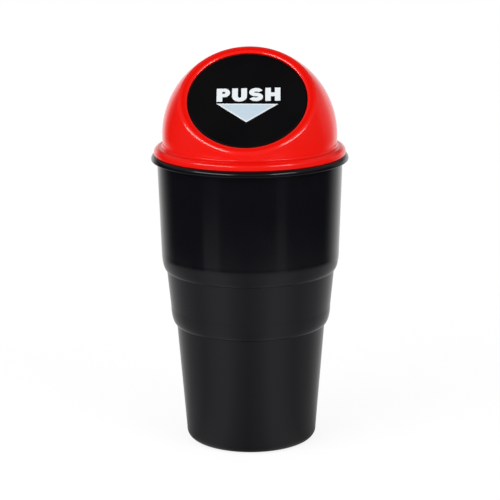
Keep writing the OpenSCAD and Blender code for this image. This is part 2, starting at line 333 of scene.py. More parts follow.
def straight(start, end, pieces=6, guard=0.25):
    """Evenly spaced points on a line, close to both ends but not on them, so its shading stays flat."""
    start, end = np.asarray(start, float), np.asarray(end, float)
    length = np.linalg.norm(end - start)
    near = min(guard / length, 0.3)
    t = np.concatenate([[near], np.linspace(near, 1 - near, pieces)[1:-1], [1 - near]])
    return start + (end - start) * t[:, None]


def revolved(profile, columns):
    """Grid of a profile turned about Z: x and y are its radius times cosine and sine, z stays."""
    a = np.linspace(0, 2 * np.pi, columns, endpoint=False)
    return np.stack([
        profile[:, :1] * np.cos(a),
        profile[:, :1] * np.sin(a),
        np.repeat(profile[:, 1:], columns, axis=1),
    ], axis=-1)


BIN_HEIGHT = 134.4
BIN_WALL = 1.3
STEP_ROUND = 8.5
CREASE_ROUND = 0.3
# Heights of the two steps, of the shelf under the rim and of the floor's two faces
LOWER_STEP, UPPER_STEP, NECK = 55.0, 80.8, 132.9
FLOOR_UNDER, FLOOR_TOP = 1.0, 2.6
FLOOR_ROUND = 2.7
# The flat foot ring, the recess inside it and the rounding outside it
RECESS_R, FOOT_IN_R, FOOT_OUT_R = 21.1, 22.3, 26.1
FOOT_EDGE, FOOT_ROUND = 0.2, 4.0
# The rolled rim
RIM_WALL, RIM_ROUND, RIM_EDGE, NECK_ROUND = 1.2, 2.0, 0.4, 0.3
RIM_LOW = 132.3


def step_points(r0, r1, z0, count=18):
    """Quarter of an ellipse from a flat crease to an upright wall, with the crease itself eased.

    Radius goes from r0 to r1 with the sine of the angle, and the height rises
    from z0 with one minus its cosine.
    """
    a = np.radians(np.linspace(6, 90, count))
    return np.stack([r0 + (r1 - r0) * np.sin(a), z0 + STEP_ROUND * (1 - np.cos(a))], axis=-1)


def crease_points(r, z, flare, count=7):
    """Small hollow where a wall meets the shelf over it: a quarter circle outside the wall."""
    return arc_points(r + CREASE_ROUND, z - CREASE_ROUND + 0.03, CREASE_ROUND, 180 - flare, 92, count)


lower_r, middle_foot_r = 34.2, 36.85
middle_r, upper_foot_r = 38.55, 40.8
neck_r, rim_r = 42.3, 45.0
lower_top, middle_top = LOWER_STEP + STEP_ROUND, UPPER_STEP + STEP_ROUND
inner_neck_r, lip_r = neck_r - BIN_WALL, rim_r - RIM_WALL
outside = np.concatenate([
    [[0, FLOOR_UNDER], [11.0, FLOOR_UNDER]],
    straight((11.0, FLOOR_UNDER), (RECESS_R, FLOOR_UNDER), 3),
    arc_points(RECESS_R, FLOOR_UNDER - FOOT_EDGE, FOOT_EDGE, 90, 45, 3),
    arc_points(FOOT_IN_R, FOOT_EDGE, FOOT_EDGE, 225, 270, 3),
    straight((FOOT_IN_R, 0), (FOOT_OUT_R, 0), 3),
    arc_points(FOOT_OUT_R, FOOT_ROUND, FOOT_ROUND, -90, -5, 16),
    straight((FOOT_OUT_R + FOOT_ROUND, FOOT_ROUND + 0.3), (lower_r, LOWER_STEP - CREASE_ROUND), 10),
    crease_points(lower_r, LOWER_STEP, 5),
    step_points(lower_r, middle_foot_r, LOWER_STEP),
    straight((middle_foot_r, lower_top), (middle_r, UPPER_STEP - CREASE_ROUND), 6),
    crease_points(middle_r, UPPER_STEP, 6),
    step_points(middle_r, upper_foot_r, UPPER_STEP),
    straight((upper_foot_r, middle_top), (neck_r, NECK), 10),
    arc_points(neck_r + NECK_ROUND, NECK, NECK_ROUND, 180, 90, 4),
    arc_points(lip_r - NECK_ROUND, NECK, NECK_ROUND, 90, 0, 4),
    straight((lip_r, NECK - 0.2), (lip_r, NECK - 0.7), 3, 0.05),
    arc_points(rim_r - RIM_EDGE, RIM_LOW, RIM_EDGE, -120, -4, 8),
    arc_points(rim_r - RIM_ROUND, BIN_HEIGHT - RIM_ROUND, RIM_ROUND, 0, 90, 16),
    straight((rim_r - RIM_ROUND, BIN_HEIGHT), (inner_neck_r + RIM_EDGE, BIN_HEIGHT), 3),
    arc_points(inner_neck_r + RIM_EDGE, BIN_HEIGHT - RIM_EDGE, RIM_EDGE, 90, 180, 5),
])
inside = np.concatenate([
    straight((inner_neck_r, BIN_HEIGHT - RIM_EDGE), (upper_foot_r - BIN_WALL, middle_top), 8),
    step_points(middle_r - BIN_WALL, upper_foot_r - BIN_WALL, UPPER_STEP)[::-1],
    straight((middle_r - BIN_WALL, UPPER_STEP), (middle_foot_r - BIN_WALL, lower_top), 5),
    step_points(lower_r - BIN_WALL, middle_foot_r - BIN_WALL, LOWER_STEP)[::-1],
    straight(
        (lower_r - BIN_WALL, LOWER_STEP), (FOOT_OUT_R + FLOOR_ROUND, FLOOR_TOP + FLOOR_ROUND), 8
    ),
    arc_points(FOOT_OUT_R, FLOOR_TOP + FLOOR_ROUND, FLOOR_ROUND, 0, -90, 9),
    straight((FOOT_OUT_R, FLOOR_TOP), (9.0, FLOOR_TOP), 3),
    [[0, FLOOR_TOP]],
])
bucket_mesh = grid_mesh(
    "bucket", revolved(np.concatenate([outside, inside]), 256) * MM, poles=(True, True)
)
bucket_mesh.set_sharp_from_angle(angle=np.radians(50))


# Fine unevenness of a moulded face, for every plastic of the bin: a slow waviness
# of the moulding and a fine skin, with a mask that the roughness uses.
def group_node(tree, group, **values):
    """Places a node group in a material and sets its named inputs."""
    node = tree.nodes.new("ShaderNodeGroup")
    node.node_tree = group
    for name, value in values.items():
        node.inputs[name.replace("_", " ")].default_value = value
    return node


skin = bpy.data.node_groups.new("moulded_skin", "ShaderNodeTree")
for socket, value in (
    ("Wave Scale", 60.0),
    ("Skin Scale", 2200.0),
    ("Wave Depth", 0.2),
    ("Skin Depth", 0.1),
    ("Roughness", 0.2),
    ("Roughness Spread", 0.05),
):
    made = skin.interface.new_socket(name=socket, in_out="INPUT", socket_type="NodeSocketFloat")
    made.default_value = value
for socket in ("Roughness", "Height", "Cloud"):
    skin.interface.new_socket(name=socket, in_out="OUTPUT", socket_type="NodeSocketFloat")
given = skin.nodes.new("NodeGroupInput")
result = skin.nodes.new("NodeGroupOutput")
spot = skin.nodes.new("ShaderNodeTexCoord")
wave = skin.nodes.new("ShaderNodeTexNoise")
wave.inputs["Detail"].default_value = 2.0
fine = skin.nodes.new("ShaderNodeTexNoise")
fine.inputs["Detail"].default_value = 3.0
cloud = skin.nodes.new("ShaderNodeTexNoise")
cloud.inputs["Scale"].default_value = 34.0
cloud.inputs["Detail"].default_value = 5.0
for noise, scale in ((wave, "Wave Scale"), (fine, "Skin Scale")):
    skin.links.new(spot.outputs["Object"], noise.inputs["Vector"])
    skin.links.new(given.outputs[scale], noise.inputs["Scale"])
skin.links.new(spot.outputs["Object"], cloud.inputs["Vector"])
wave_height = maths(skin, "MULTIPLY", wave.outputs["Fac"], given.outputs["Wave Depth"])
whole_height = maths(
    skin, "MULTIPLY_ADD", fine.outputs["Fac"], given.outputs["Skin Depth"], wave_height
)
# The group's plain roughness, with the cloudy spread added to it
spread = carried(skin, cloud.outputs["Fac"], 0.35, 0.65, -1.0)
rough = maths(
    skin, "MULTIPLY_ADD", spread, given.outputs["Roughness Spread"], given.outputs["Roughness"]
)
skin.links.new(whole_height, result.inputs["Height"])
skin.links.new(rough, result.inputs["Roughness"])
skin.links.new(cloud.outputs["Fac"], result.inputs["Cloud"])


def srgb(red, green, blue):
    """Linear colour of three screen levels from 0 to 255, by the standard screen curve."""
    level = np.array([red, green, blue]) / 255.0
    linear = np.where(level <= 0.04045, level / 12.92, ((level + 0.055) / 1.055) ** 2.4)
    return (*linear.tolist(), 1.0)


def drifting_tone(tree, share, first, second, shader):
    """Base colour that drifts from a first tone to a second with a share from 0 to 1."""
    tone = tree.nodes.new("ShaderNodeMix")
    tone.data_type = "RGBA"
    tone.inputs["A"].default_value = first
    tone.inputs["B"].default_value = second
    tree.links.new(share, tone.inputs["Factor"])
    tree.links.new(tone.outputs["Result"], shader.inputs["Base Color"])


def moulded_plastic(name, main, worn, specular, bump, **values):
    """Plastic on the moulded skin: its colour drifts between two near tones with the cloud."""
    material = bpy.data.materials.new(name)
    material.use_nodes = True
    tree = material.node_tree
    shader = tree.nodes["Principled BSDF"]
    grain = group_node(tree, skin, **values)
    drifting_tone(tree, grain.outputs["Cloud"], main, worn, shader)
    tree.links.new(grain.outputs["Roughness"], shader.inputs["Roughness"])
    shader.inputs["Specular IOR Level"].default_value = specular
    height = tree.nodes.new("ShaderNodeBump")
    height.inputs["Strength"].default_value = bump
    height.inputs["Distance"].default_value = 0.2 * MM
    tree.links.new(grain.outputs["Height"], height.inputs["Height"])
    tree.links.new(height.outputs["Normal"], shader.inputs["Normal"])
    return material


black_plastic = moulded_plastic(
    "black_polypropylene", srgb(12, 13, 17), srgb(14, 15, 20), 0.5, 0.35,
    Roughness=0.17, Roughness_Spread=0.03, Wave_Depth=0.25, Skin_Depth=0.05,
)
bucket = place(bucket_mesh, black_plastic)
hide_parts("bin_body")
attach(bucket, "bin")


# The lid. One moulding of glossy red polypropylene: a dome cut by a sloping flat
# with the mouth in it, a rounded flange on the bucket's rim and a plug skirt.
FLAT_TURN = np.radians(42)
DOME_Z = 143.0
DOME_R = 39.8
INNER_R = 38.4
FLAT_Z = 25.8
RING_BACK_Z = 24.4
MOUTH_R = 26.905
MOUTH_EDGE = 0.15
FLANGE_R, FLANGE_TOP, FLANGE_ROUND = 43.7, 138.0, 2.5
LIP_ROUND, LIP_EDGE = 0.7, 0.25
# The lip's flat foot on the rim, the hollow inside it, and the crease where dome meets flange
LIP_OUT_R, LIP_IN_R = 42.98, 42.6
HOLLOW_R, HOLLOW_Z, HOLLOW_ROUND = 40.5, 134.8, 1.8
CREASE_R, CREASE_Z, CREASE_SOFT = 40.604, 139.1, 1.0
SKIRT_R, SKIRT_INNER_R = 40.52, 39.12
SKIRT_FOOT, SKIRT_TOP, SKIRT_INNER_TOP = 126.0, 136.5, 134.8
SKIRT_TIP, SKIRT_INNER_EDGE = 0.6, 0.3
# Height at which the dome's inner ball meets the slope up from the skirt
BALL_END_Z = 136.7
# A worn edge: steps of its turn in a degree, and the turn about which its rounding swells
TURN_STEPS = 8
WORN_TURN, WORN_SPREAD = np.radians(25), np.radians(7)


def out_of_flat(x, y, z):
    """Points of the flat's frame, y up its slope and z out of it, put into the bin's, in metres."""
    x, y, z = np.broadcast_arrays(x, y, z)
    return np.stack([
        x,
        y * np.cos(FLAT_TURN) - z * np.sin(FLAT_TURN),
        DOME_Z + y * np.sin(FLAT_TURN) + z * np.cos(FLAT_TURN),
    ], axis=-1) * MM


def ring_rows(profile, u):
    """Rows of (radius, depth) pairs turned about the flat's axis at the azimuths u."""
    r, z = profile[:, :1], profile[:, 1:]
    return out_of_flat(r * np.cos(u), r * np.sin(u), z + 0 * u)


def last_angle(u, radius, level):
    """Angle from the flat's axis at which a ball of that radius reaches a height, on each azimuth.

    The height is cos(angle) times the cosine of the flat's turn plus
    sin(angle) times sin(azimuth) times its sine, so the angle is that of the
    steepest way down plus an arc cosine.
    """
    side = np.sin(u) * np.sin(FLAT_TURN)
    rise = np.cos(FLAT_TURN)
    return np.arctan2(side, rise) + np.arccos((level - DOME_Z) / radius / np.hypot(side, rise))


def ball_rows(u, radius, first, last, count):
    """Rows on the ball between two angles from the flat's axis, closer together near both ends."""
    t = (1 - np.cos(np.linspace(0, np.pi, count))) / 2
    angle = first + (last - first) * t[:, None]
    flat_r = radius * np.sin(angle)
    return out_of_flat(flat_r * np.cos(u), flat_r * np.sin(u), radius * np.cos(angle))


def skirt_rows(profile, longitude):
    """Rows of (radius, height) pairs turned about the bin's own axis at given longitudes."""
    r, z = profile[:, :1], profile[:, 1:]
    return np.stack([
        r * np.cos(longitude),
        r * np.sin(longitude),
        z + 0 * longitude,
    ], axis=-1) * MM


def eased_edge(least, extra, last):
    """Rounding of an edge, as its runs along and across from the first face, and the turn at each.

    The radius is the least one plus an extra that swells like a bell about a
    turn of 25 degrees, so the edge lingers there as a worn bevel does.
    """
    turn = np.radians(np.linspace(0, last, TURN_STEPS * int(last) + 1))
    radius = least + extra * np.exp(-((turn - WORN_TURN) / WORN_SPREAD) ** 2)
    step = radius * (turn[1] - turn[0])
    return np.cumsum(step * np.cos(turn)), np.cumsum(step * np.sin(turn)), turn


LID_COLUMNS = 320
u = -np.linspace(0, 2 * np.pi, LID_COLUMNS, endpoint=False)
mouth_run, mouth_fall, _ = eased_edge(0.25, 5.0, 90)
mouth_edge_r = MOUTH_R + mouth_run[-1]
mouth_edge = np.stack([mouth_edge_r - mouth_run, FLAT_Z - mouth_fall], axis=-1)[::-5 * TURN_STEPS]
# The flat's outer edge ends where its turn and its place both lie on the dome
flat_run, flat_fall, flat_turn = eased_edge(0.8, 6.8, 60)
on_dome = np.argmax(FLAT_Z - flat_fall - DOME_R * np.cos(flat_turn) > 0)
round_end = flat_turn[on_dome]
flat_edge_r = DOME_R * np.sin(round_end) - flat_run[on_dome]
flat_edge = np.stack([flat_edge_r + flat_run, FLAT_Z - flat_fall], axis=-1)
flat_edge = flat_edge[:on_dome:5 * TURN_STEPS // 2]
ball_end_r = np.sqrt(INNER_R ** 2 - (BALL_END_Z - DOME_Z) ** 2)
mouth_and_flat = np.concatenate([
    mouth_edge,
    straight((mouth_edge_r, FLAT_Z), (flat_edge_r, FLAT_Z), 3),
    flat_edge,
])
flange = np.concatenate([
    arc_points(CREASE_R, FLANGE_TOP + CREASE_SOFT, CREASE_SOFT, 174, 268, 10),
    straight((40.65, FLANGE_TOP), (FLANGE_R - FLANGE_ROUND, FLANGE_TOP), 2, 0.1),
    arc_points(FLANGE_R - FLANGE_ROUND, FLANGE_TOP - FLANGE_ROUND, FLANGE_ROUND, 89, 1, 24),
    arc_points(FLANGE_R - LIP_ROUND, BIN_HEIGHT + LIP_ROUND, LIP_ROUND, -4, -90, 9),
    straight((LIP_OUT_R, BIN_HEIGHT), (LIP_IN_R, BIN_HEIGHT), 2, 0.05),
    arc_points(LIP_IN_R - 0.05, BIN_HEIGHT + LIP_EDGE, LIP_EDGE, 270, 180, 4),
    arc_points(HOLLOW_R, HOLLOW_Z, HOLLOW_ROUND, 2, 88, 12),
    straight((SKIRT_R, SKIRT_TOP), (SKIRT_R, SKIRT_FOOT + 2 * SKIRT_TIP), 6),
    arc_points(SKIRT_R - SKIRT_TIP, SKIRT_FOOT + SKIRT_TIP, SKIRT_TIP, 0, -80, 5),
    arc_points(
        SKIRT_INNER_R + SKIRT_INNER_EDGE, SKIRT_FOOT + SKIRT_INNER_EDGE, SKIRT_INNER_EDGE, 260, 180, 4
    ),
    straight((SKIRT_INNER_R, SKIRT_FOOT + 0.4), (SKIRT_INNER_R, SKIRT_INNER_TOP), 5),
    straight((SKIRT_INNER_R, SKIRT_INNER_TOP), (ball_end_r, BALL_END_Z), 3),
])
first_ball = ball_rows(u, DOME_R, round_end, last_angle(u, DOME_R, CREASE_Z), 60)
end_points = first_ball[-1]
longitude = np.arctan2(end_points[:, 1], end_points[:, 0])
back_start = np.arccos(RING_BACK_Z / INNER_R)
back_rows = ball_rows(u, INNER_R, back_start, last_angle(u, INNER_R, BALL_END_Z), 40)[::-1]
ring_back = np.concatenate([
    straight((np.sin(back_start) * INNER_R, RING_BACK_Z), (MOUTH_R + MOUTH_EDGE, RING_BACK_Z), 3),
    arc_points(MOUTH_R + MOUTH_EDGE, RING_BACK_Z + MOUTH_EDGE, MOUTH_EDGE, 270, 180, 4),
    straight((MOUTH_R, RING_BACK_Z + MOUTH_EDGE), (MOUTH_R, FLAT_Z - mouth_fall[-1] - 0.1), 2),
])
lid_grid = np.concatenate([
    ring_rows(mouth_and_flat, u),
    first_ball,
    skirt_rows(flange, longitude),
    back_rows,
    ring_rows(ring_back, u),
])
lid_mesh = grid_mesh("dome_lid_moulding", lid_grid, close_rows=True)
lid_mesh.set_sharp_from_angle(angle=np.radians(50))

red_plastic = moulded_plastic(
    "red_polypropylene", srgb(246, 20, 9), srgb(241, 18, 8), 0.5, 0.3,
    Roughness=0.14, Roughness_Spread=0.03, Wave_Depth=0.2, Skin_Depth=0.012,
)
lid = place(lid_mesh, red_plastic)
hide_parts("dome_lid")
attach(lid, "lid")


# The two lugs behind the top of the mouth, moulded with the lid. Each is a plate
# rooted in the dome, with a bore that holds the hinge pin.
PIN_Y, PIN_Z = 24.805, 20.8
LUG_ROUND, LUG_BORE_R = 2.5, 1.02
# Corner of each lug's block beside the ring, out and forwards from the pin
LUG_OUT, LUG_FRONT = 2.4, 4.3
# A ball inside the dome's wall on which the lugs end, and a reach that is past it everywhere
ROOT_R, ROOT_REACH = 39.1, 40


def box_reach(a, y0, y1, z0, z1):
    """Run of a ray from the pin's centre, at each angle, until it leaves a box, or 0 if it misses."""
    c, s = np.cos(a), np.sin(a)
    c = np.where(np.abs(c) < 1e-9, 1e-9, c)
    s = np.where(np.abs(s) < 1e-9, 1e-9, s)
    enter = np.maximum(np.minimum(y0 / c, y1 / c), np.minimum(z0 / s, z1 / s))
    leave = np.minimum(np.maximum(y0 / c, y1 / c), np.maximum(z0 / s, z1 / s))
    return np.where((leave > enter) & (leave > 0), leave, 0.0)


def bored_plate(name, a, reach, x0, x1, bore_r, edge=0.25):
    """Plate across the pin: its outline is a reach at each angle, and its hole is a circle.

    Rows go from the bore over one face, round the eased edge and back over
    the other face, so the plate is closed.
    """
    tight = np.maximum(reach - edge, bore_r + 0.1)
    rows = [
        (x0, np.full_like(a, bore_r)),
        (x0, tight),
        (x0 + 0.3 * edge, tight + 0.7 * edge),
        (x0 + edge, reach),
        (x1 - edge, reach),
        (x1 - 0.3 * edge, tight + 0.7 * edge),
        (x1, tight),
        (x1, np.full_like(a, bore_r)),
    ]
    x = np.array([row[0] for row in rows])[:, None]
    r = np.array([row[1] for row in rows])
    grid = out_of_flat(x, PIN_Y + r * np.cos(a), PIN_Z + r * np.sin(a))
    mesh = grid_mesh(name, grid, close_rows=True)
    mesh.set_sharp_from_angle(angle=np.radians(40))
    return mesh


plate_a = -np.linspace(0, 2 * np.pi, 144, endpoint=False)
for name, x0, x1 in (("left_lug", -8.7, -6.3), ("right_lug", 6.3, 8.7)):
    middle_x = (x0 + x1) / 2
    reach = np.maximum.reduce([
        np.full_like(plate_a, LUG_ROUND),
        box_reach(plate_a, 0, ROOT_REACH, -LUG_ROUND, LUG_ROUND),
        box_reach(plate_a, LUG_OUT, ROOT_REACH, 0, LUG_FRONT),
    ])
    ball_r2 = ROOT_R ** 2 - middle_x ** 2
    along = PIN_Y * np.cos(plate_a) + PIN_Z * np.sin(plate_a)
    ball_reach = -along + np.sqrt(along ** 2 + ball_r2 - PIN_Y ** 2 - PIN_Z ** 2)
    lug = place(
        bored_plate(name, plate_a, np.minimum(reach, ball_reach), x0, x1, LUG_BORE_R), red_plastic
    )
    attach(lug, "lid")


# The flap. One moulding of satin black polypropylene: the disc, and behind it the
# stop ledge that closes against the ring, two ears on the pin and two ribs.
FACE_Z, BACK_Z = 25.2, 23.6
FLAP_R = 26.455
FLAP_ROUND, BACK_ROUND = 0.35, 0.2
EAR_ROUND, EAR_BORE_R, EAR_EDGE = 2.4, 1.05, 0.2
# How far each ear's stalk reaches out past the pin, and forwards into the disc
STALK_OUT, STALK_FRONT = 0.5, 3.6
# The ledge leaves the hinge free: half the gap, and the radius at which it is measured
LEDGE_GAP, LEDGE_GAP_R = 12, 27.0
# Where the ribs start and end, down the flap from the pin
RIB_FAR, RIB_NEAR = 12, 6


def swept(name, sections):
    """Closed bar: each loop of section points is a row, and the ends close on their middles."""
    first = np.broadcast_to(sections[0].mean(axis=0), sections[0].shape)
    last = np.broadcast_to(sections[-1].mean(axis=0), sections[-1].shape)
    return grid_mesh(name, np.concatenate([[first], sections, [last]]), poles=(True, True))


disc_profile = np.concatenate([
    [[0, FACE_Z]],
    straight((2, FACE_Z), (FLAP_R - FLAP_ROUND, FACE_Z), 8),
    arc_points(FLAP_R - FLAP_ROUND, FACE_Z - FLAP_ROUND, FLAP_ROUND, 90, 0, 6),
    straight((FLAP_R, FACE_Z - FLAP_ROUND), (FLAP_R, BACK_Z + BACK_ROUND), 2),
    arc_points(FLAP_R - BACK_ROUND, BACK_Z + BACK_ROUND, BACK_ROUND, 0, -90, 4),
    straight((FLAP_R - BACK_ROUND, BACK_Z), (2, BACK_Z), 4),
    [[0, BACK_Z]],
])
satin_black = moulded_plastic(
    "satin_black_polypropylene", srgb(7, 6, 8), srgb(9, 8, 10), 0.18, 0.5,
    Roughness=0.42, Roughness_Spread=0.04, Wave_Depth=0.05, Skin_Depth=0.3, Skin_Scale=1500.0,
)
disc_u = -np.linspace(0, 2 * np.pi, 192, endpoint=False)
disc_mesh = grid_mesh("flap_disc", ring_rows(disc_profile, disc_u), poles=(True, True))
disc = place(disc_mesh, satin_black)
disc.data.set_sharp_from_angle(angle=np.radians(50))
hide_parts("push_flap")
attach(disc, "flap")

ledge_profile = np.array([
    [-0.12, 24.2], [1.83, 24.2], [1.95, 24.08], [1.95, 23.12], [1.83, 23.0],
    [-1.17, 23.0], [-1.3, 23.1], [-1.3, 23.8], [-0.92, 24.0],
]) + [FLAP_R, 0]
ledge_half = np.pi / 2 + np.arcsin(LEDGE_GAP / LEDGE_GAP_R)
ledge_u = -np.pi / 2 + np.linspace(-ledge_half, ledge_half, 145)
ledge_r, ledge_z = ledge_profile.T
ledge_rows = out_of_flat(
    ledge_r * np.cos(ledge_u)[:, None], ledge_r * np.sin(ledge_u)[:, None], ledge_z
)
ledge = place(swept("flap_stop_ledge", ledge_rows), satin_black)
ledge.data.set_sharp_from_angle(angle=np.radians(30))
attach(ledge, "flap")

for name, x0, x1 in (("left_ear", -6.0, -3.8), ("right_ear", 3.8, 6.0)):
    stalk = box_reach(plate_a, -EAR_ROUND, STALK_OUT, 0, STALK_FRONT)
    reach = np.maximum(EAR_ROUND, stalk)
    ear = place(bored_plate(name, plate_a, reach, x0, x1, EAR_BORE_R, EAR_EDGE), satin_black)
    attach(ear, "flap")

rib_x, rib_z = np.array([
    [-0.45, 24.3], [-0.45, 22.25], [-0.3, 22.1], [0.3, 22.1], [0.45, 22.25], [0.45, 24.3],
]).T
rib_y = np.linspace(PIN_Y - RIB_FAR, PIN_Y - RIB_NEAR, 5)[:, None]
for name, x in (("left_guide_rib", -3.45), ("right_guide_rib", -1.35)):
    rib = place(swept(name, out_of_flat(x + rib_x, rib_y, rib_z)), satin_black)
    rib.data.set_sharp_from_angle(angle=np.radians(30))
    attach(rib, "flap")


# The hinge pin. A 2 mm steel rod, cut to length with rounded ends and held in
# the lid's two lugs: the flap's ears turn on it.
PIN_R, PIN_HALF, PIN_ROUND = 1.0, 9.3, 0.2
# How dark the steel's streaks are, and how far they move its roughness
STREAK_SHADE, STREAK_SPREAD = 0.86, 0.08
pin_profile = np.concatenate([
    [[0, -PIN_HALF]],
    arc_points(PIN_R - PIN_ROUND, -PIN_HALF + PIN_ROUND, PIN_ROUND, -90, 0, 4),
    straight((PIN_R, -PIN_HALF + PIN_ROUND), (PIN_R, PIN_HALF - PIN_ROUND), 8),
    arc_points(PIN_R - PIN_ROUND, PIN_HALF - PIN_ROUND, PIN_ROUND, 0, 90, 4),
    [[0, PIN_HALF]],
])
pin_a = np.linspace(0, 2 * np.pi, 48, endpoint=False)
pin_grid = out_of_flat(
    pin_profile[:, 1:] + 0 * pin_a,
    PIN_Y + pin_profile[:, :1] * np.cos(pin_a),
    PIN_Z + pin_profile[:, :1] * np.sin(pin_a),
)


def drawn_steel(name, tone, roughness, stripes):
    """Bright steel with fine lines along X, as drawing leaves them: noise squeezed to long streaks."""
    material = bpy.data.materials.new(name)
    material.use_nodes = True
    tree = material.node_tree
    shader = tree.nodes["Principled BSDF"]
    shader.inputs["Metallic"].default_value = 1.0
    spot = tree.nodes.new("ShaderNodeTexCoord")
    squeeze = tree.nodes.new("ShaderNodeMapping")
    squeeze.inputs["Scale"].default_value = stripes
    streaks = tree.nodes.new("ShaderNodeTexNoise")
    streaks.inputs["Scale"].default_value = 1.0
    streaks.inputs["Detail"].default_value = 3.0
    tree.links.new(spot.outputs["Object"], squeeze.inputs["Vector"])
    tree.links.new(squeeze.outputs["Vector"], streaks.inputs["Vector"])
    dark = [round(STREAK_SHADE * level) for level in tone]
    drifting_tone(tree, streaks.outputs["Fac"], srgb(*tone), srgb(*dark), shader)
    dull = carried(
        tree, streaks.outputs["Fac"], low=roughness - STREAK_SPREAD, high=roughness + STREAK_SPREAD
    )
    tree.links.new(dull, shader.inputs["Roughness"])
    return material


pin = place(
    grid_mesh("pin_rod", pin_grid, poles=(True, True)),
    drawn_steel("bright_pin_steel", (206, 207, 210), 0.22, (120.0, 2600.0, 2600.0)),
)
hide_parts("hinge_pin")
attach(pin, "lid")


# The torsion spring. 0.6 mm steel wire, wound six turns round the pin: one leg
# lies between the ribs on the flap's back, the other under the lid's ring.
WIRE_R, COIL_R = 0.3, 1.9
TURNS, PITCH = 6, 0.8
COIL_HALF = TURNS * PITCH / 2
# Each leg's reach and the depth of its tip: down the flap from the pin, and out past the mouth
FLAP_LEG, FLAP_TIP_Z = 12, 23.25
LID_LEG, LID_TIP_Z = 2.2, 24.05
coil_t = np.linspace(0, TURNS, TURNS * 32 + 1)
coil_line = np.stack([
    -COIL_HALF + PITCH * coil_t,
    PIN_Y + COIL_R * np.sin(2 * np.pi * coil_t),
    PIN_Z + COIL_R * np.cos(2 * np.pi * coil_t),
], axis=-1)
flap_tip = np.array([-COIL_HALF, PIN_Y - FLAP_LEG, FLAP_TIP_Z])
lid_tip = np.array([COIL_HALF, MOUTH_R + LID_LEG, LID_TIP_Z])
leg_t = np.linspace(0, 1, 13)[:-1, None]
wire_line = np.concatenate([
    flap_tip + (coil_line[0] - flap_tip) * leg_t,
    coil_line,
    (lid_tip + (coil_line[-1] - lid_tip) * leg_t)[::-1],
])


def tube_rows(line, radius, sides):
    """Rows round a line: at each point a circle square to it, kept from twisting by X."""
    along = np.gradient(line, axis=0)
    along /= np.linalg.norm(along, axis=1, keepdims=True)
    side = np.array([1.0, 0.0, 0.0]) - along * along[:, :1]
    side /= np.linalg.norm(side, axis=1, keepdims=True)
    up = np.cross(along, side)
    a = np.linspace(0, 2 * np.pi, sides, endpoint=False)[None, :, None]
    return line[:, None] + radius * (np.cos(a) * side[:, None] + np.sin(a) * up[:, None])


wire_rows = tube_rows(wire_line, WIRE_R, 12)
wire_grid = out_of_flat(wire_rows[..., 0], wire_rows[..., 1], wire_rows[..., 2])
spring = place(
    swept("spring_wire", wire_grid),
    drawn_steel("spring_steel_wire", (158, 160, 164), 0.3, (2400.0, 900.0, 900.0)),
)
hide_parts("torsion_spring")
hinge_point = out_of_flat(0.0, PIN_Y, PIN_Z)
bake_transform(spring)


# The arrow. A pale silver foil stamped on the disc, with a white band round it that is a
# painted highlight of its raised edge: it points down, to where the flap is pushed.
ARROW_HALF, ARROW_L = 13.75, 10.3
ARROW_X, ARROW_TOP = 0.1, -2.4
# Width of the white band round the arrow, a painted highlight of its raised edge
ARROW_EDGE = 0.55
FOIL_TOP, FOIL_ROUND, FOIL_DROP = 25.45, 0.06, 0.03
# The foil drops over a narrow step inside its white edge, with one more row further in
FOIL_STEP, FOIL_ROW = 0.05, 1.6
ARROW_ROOT = FACE_Z - 0.1

arrow_corners = np.array([[-ARROW_HALF, 0.0], [0.0, -ARROW_L], [ARROW_HALF, 0.0]])
arrow_sides = np.linalg.norm(np.roll(arrow_corners, -1, axis=0) - arrow_corners, axis=1)
# The inner circle's centre weighs each corner by the side across from it, and its
# radius is twice the triangle's area over the sum of its sides
arrow_centre = (np.roll(arrow_sides, -1)[:, None] * arrow_corners).sum(axis=0) / arrow_sides.sum()
inner_r = ARROW_HALF * 2 * ARROW_L / arrow_sides.sum()


def arrow_row(inset, z, per_side=24):
    """Points round the arrow's triangle, drawn in by an inset towards its inner circle's centre."""
    shrunk = arrow_centre + (arrow_corners - arrow_centre) * (1 - inset / inner_r)
    sides = np.roll(shrunk, -1, axis=0) - shrunk
    t = np.linspace(0, 1, per_side, endpoint=False)[:, None]
    loop = (shrunk[:, None] + sides[:, None] * t).reshape(-1, 2)
    return out_of_flat(ARROW_X + loop[:, 0], ARROW_TOP + loop[:, 1], z)


arrow_grid = np.stack([
    arrow_row(inner_r, ARROW_ROOT),
    arrow_row(0.0, ARROW_ROOT),
    arrow_row(0.0, FOIL_TOP - FOIL_ROUND),
    arrow_row(FOIL_ROUND, FOIL_TOP),
    arrow_row(ARROW_EDGE, FOIL_TOP),
    arrow_row(ARROW_EDGE + FOIL_STEP, FOIL_TOP - FOIL_DROP),
    arrow_row(FOIL_ROW, FOIL_TOP - FOIL_DROP),
    arrow_row(inner_r, FOIL_TOP - FOIL_DROP),
])
arrow_mesh = grid_mesh("arrow_foil", arrow_grid, poles=(True, True))
arrow_mesh.set_sharp_from_angle(angle=np.radians(30))


def print_ink(name, main, second, roughness, metal):
    """Printed or stamped mark: a fine cloud moves its tone, and a fine grain its roughness."""
    material = bpy.data.materials.new(name)
    material.use_nodes = True
    tree = material.node_tree
    shader = tree.nodes["Principled BSDF"]
    shader.inputs["Metallic"].default_value = metal
    grain = group_node(tree, skin, Roughness=roughness, Roughness_Spread=0.05, Skin_Scale=3000.0)
    drifting_tone(tree, grain.outputs["Cloud"], main, second, shader)
    tree.links.new(grain.outputs["Roughness"], shader.inputs["Roughness"])
    return material


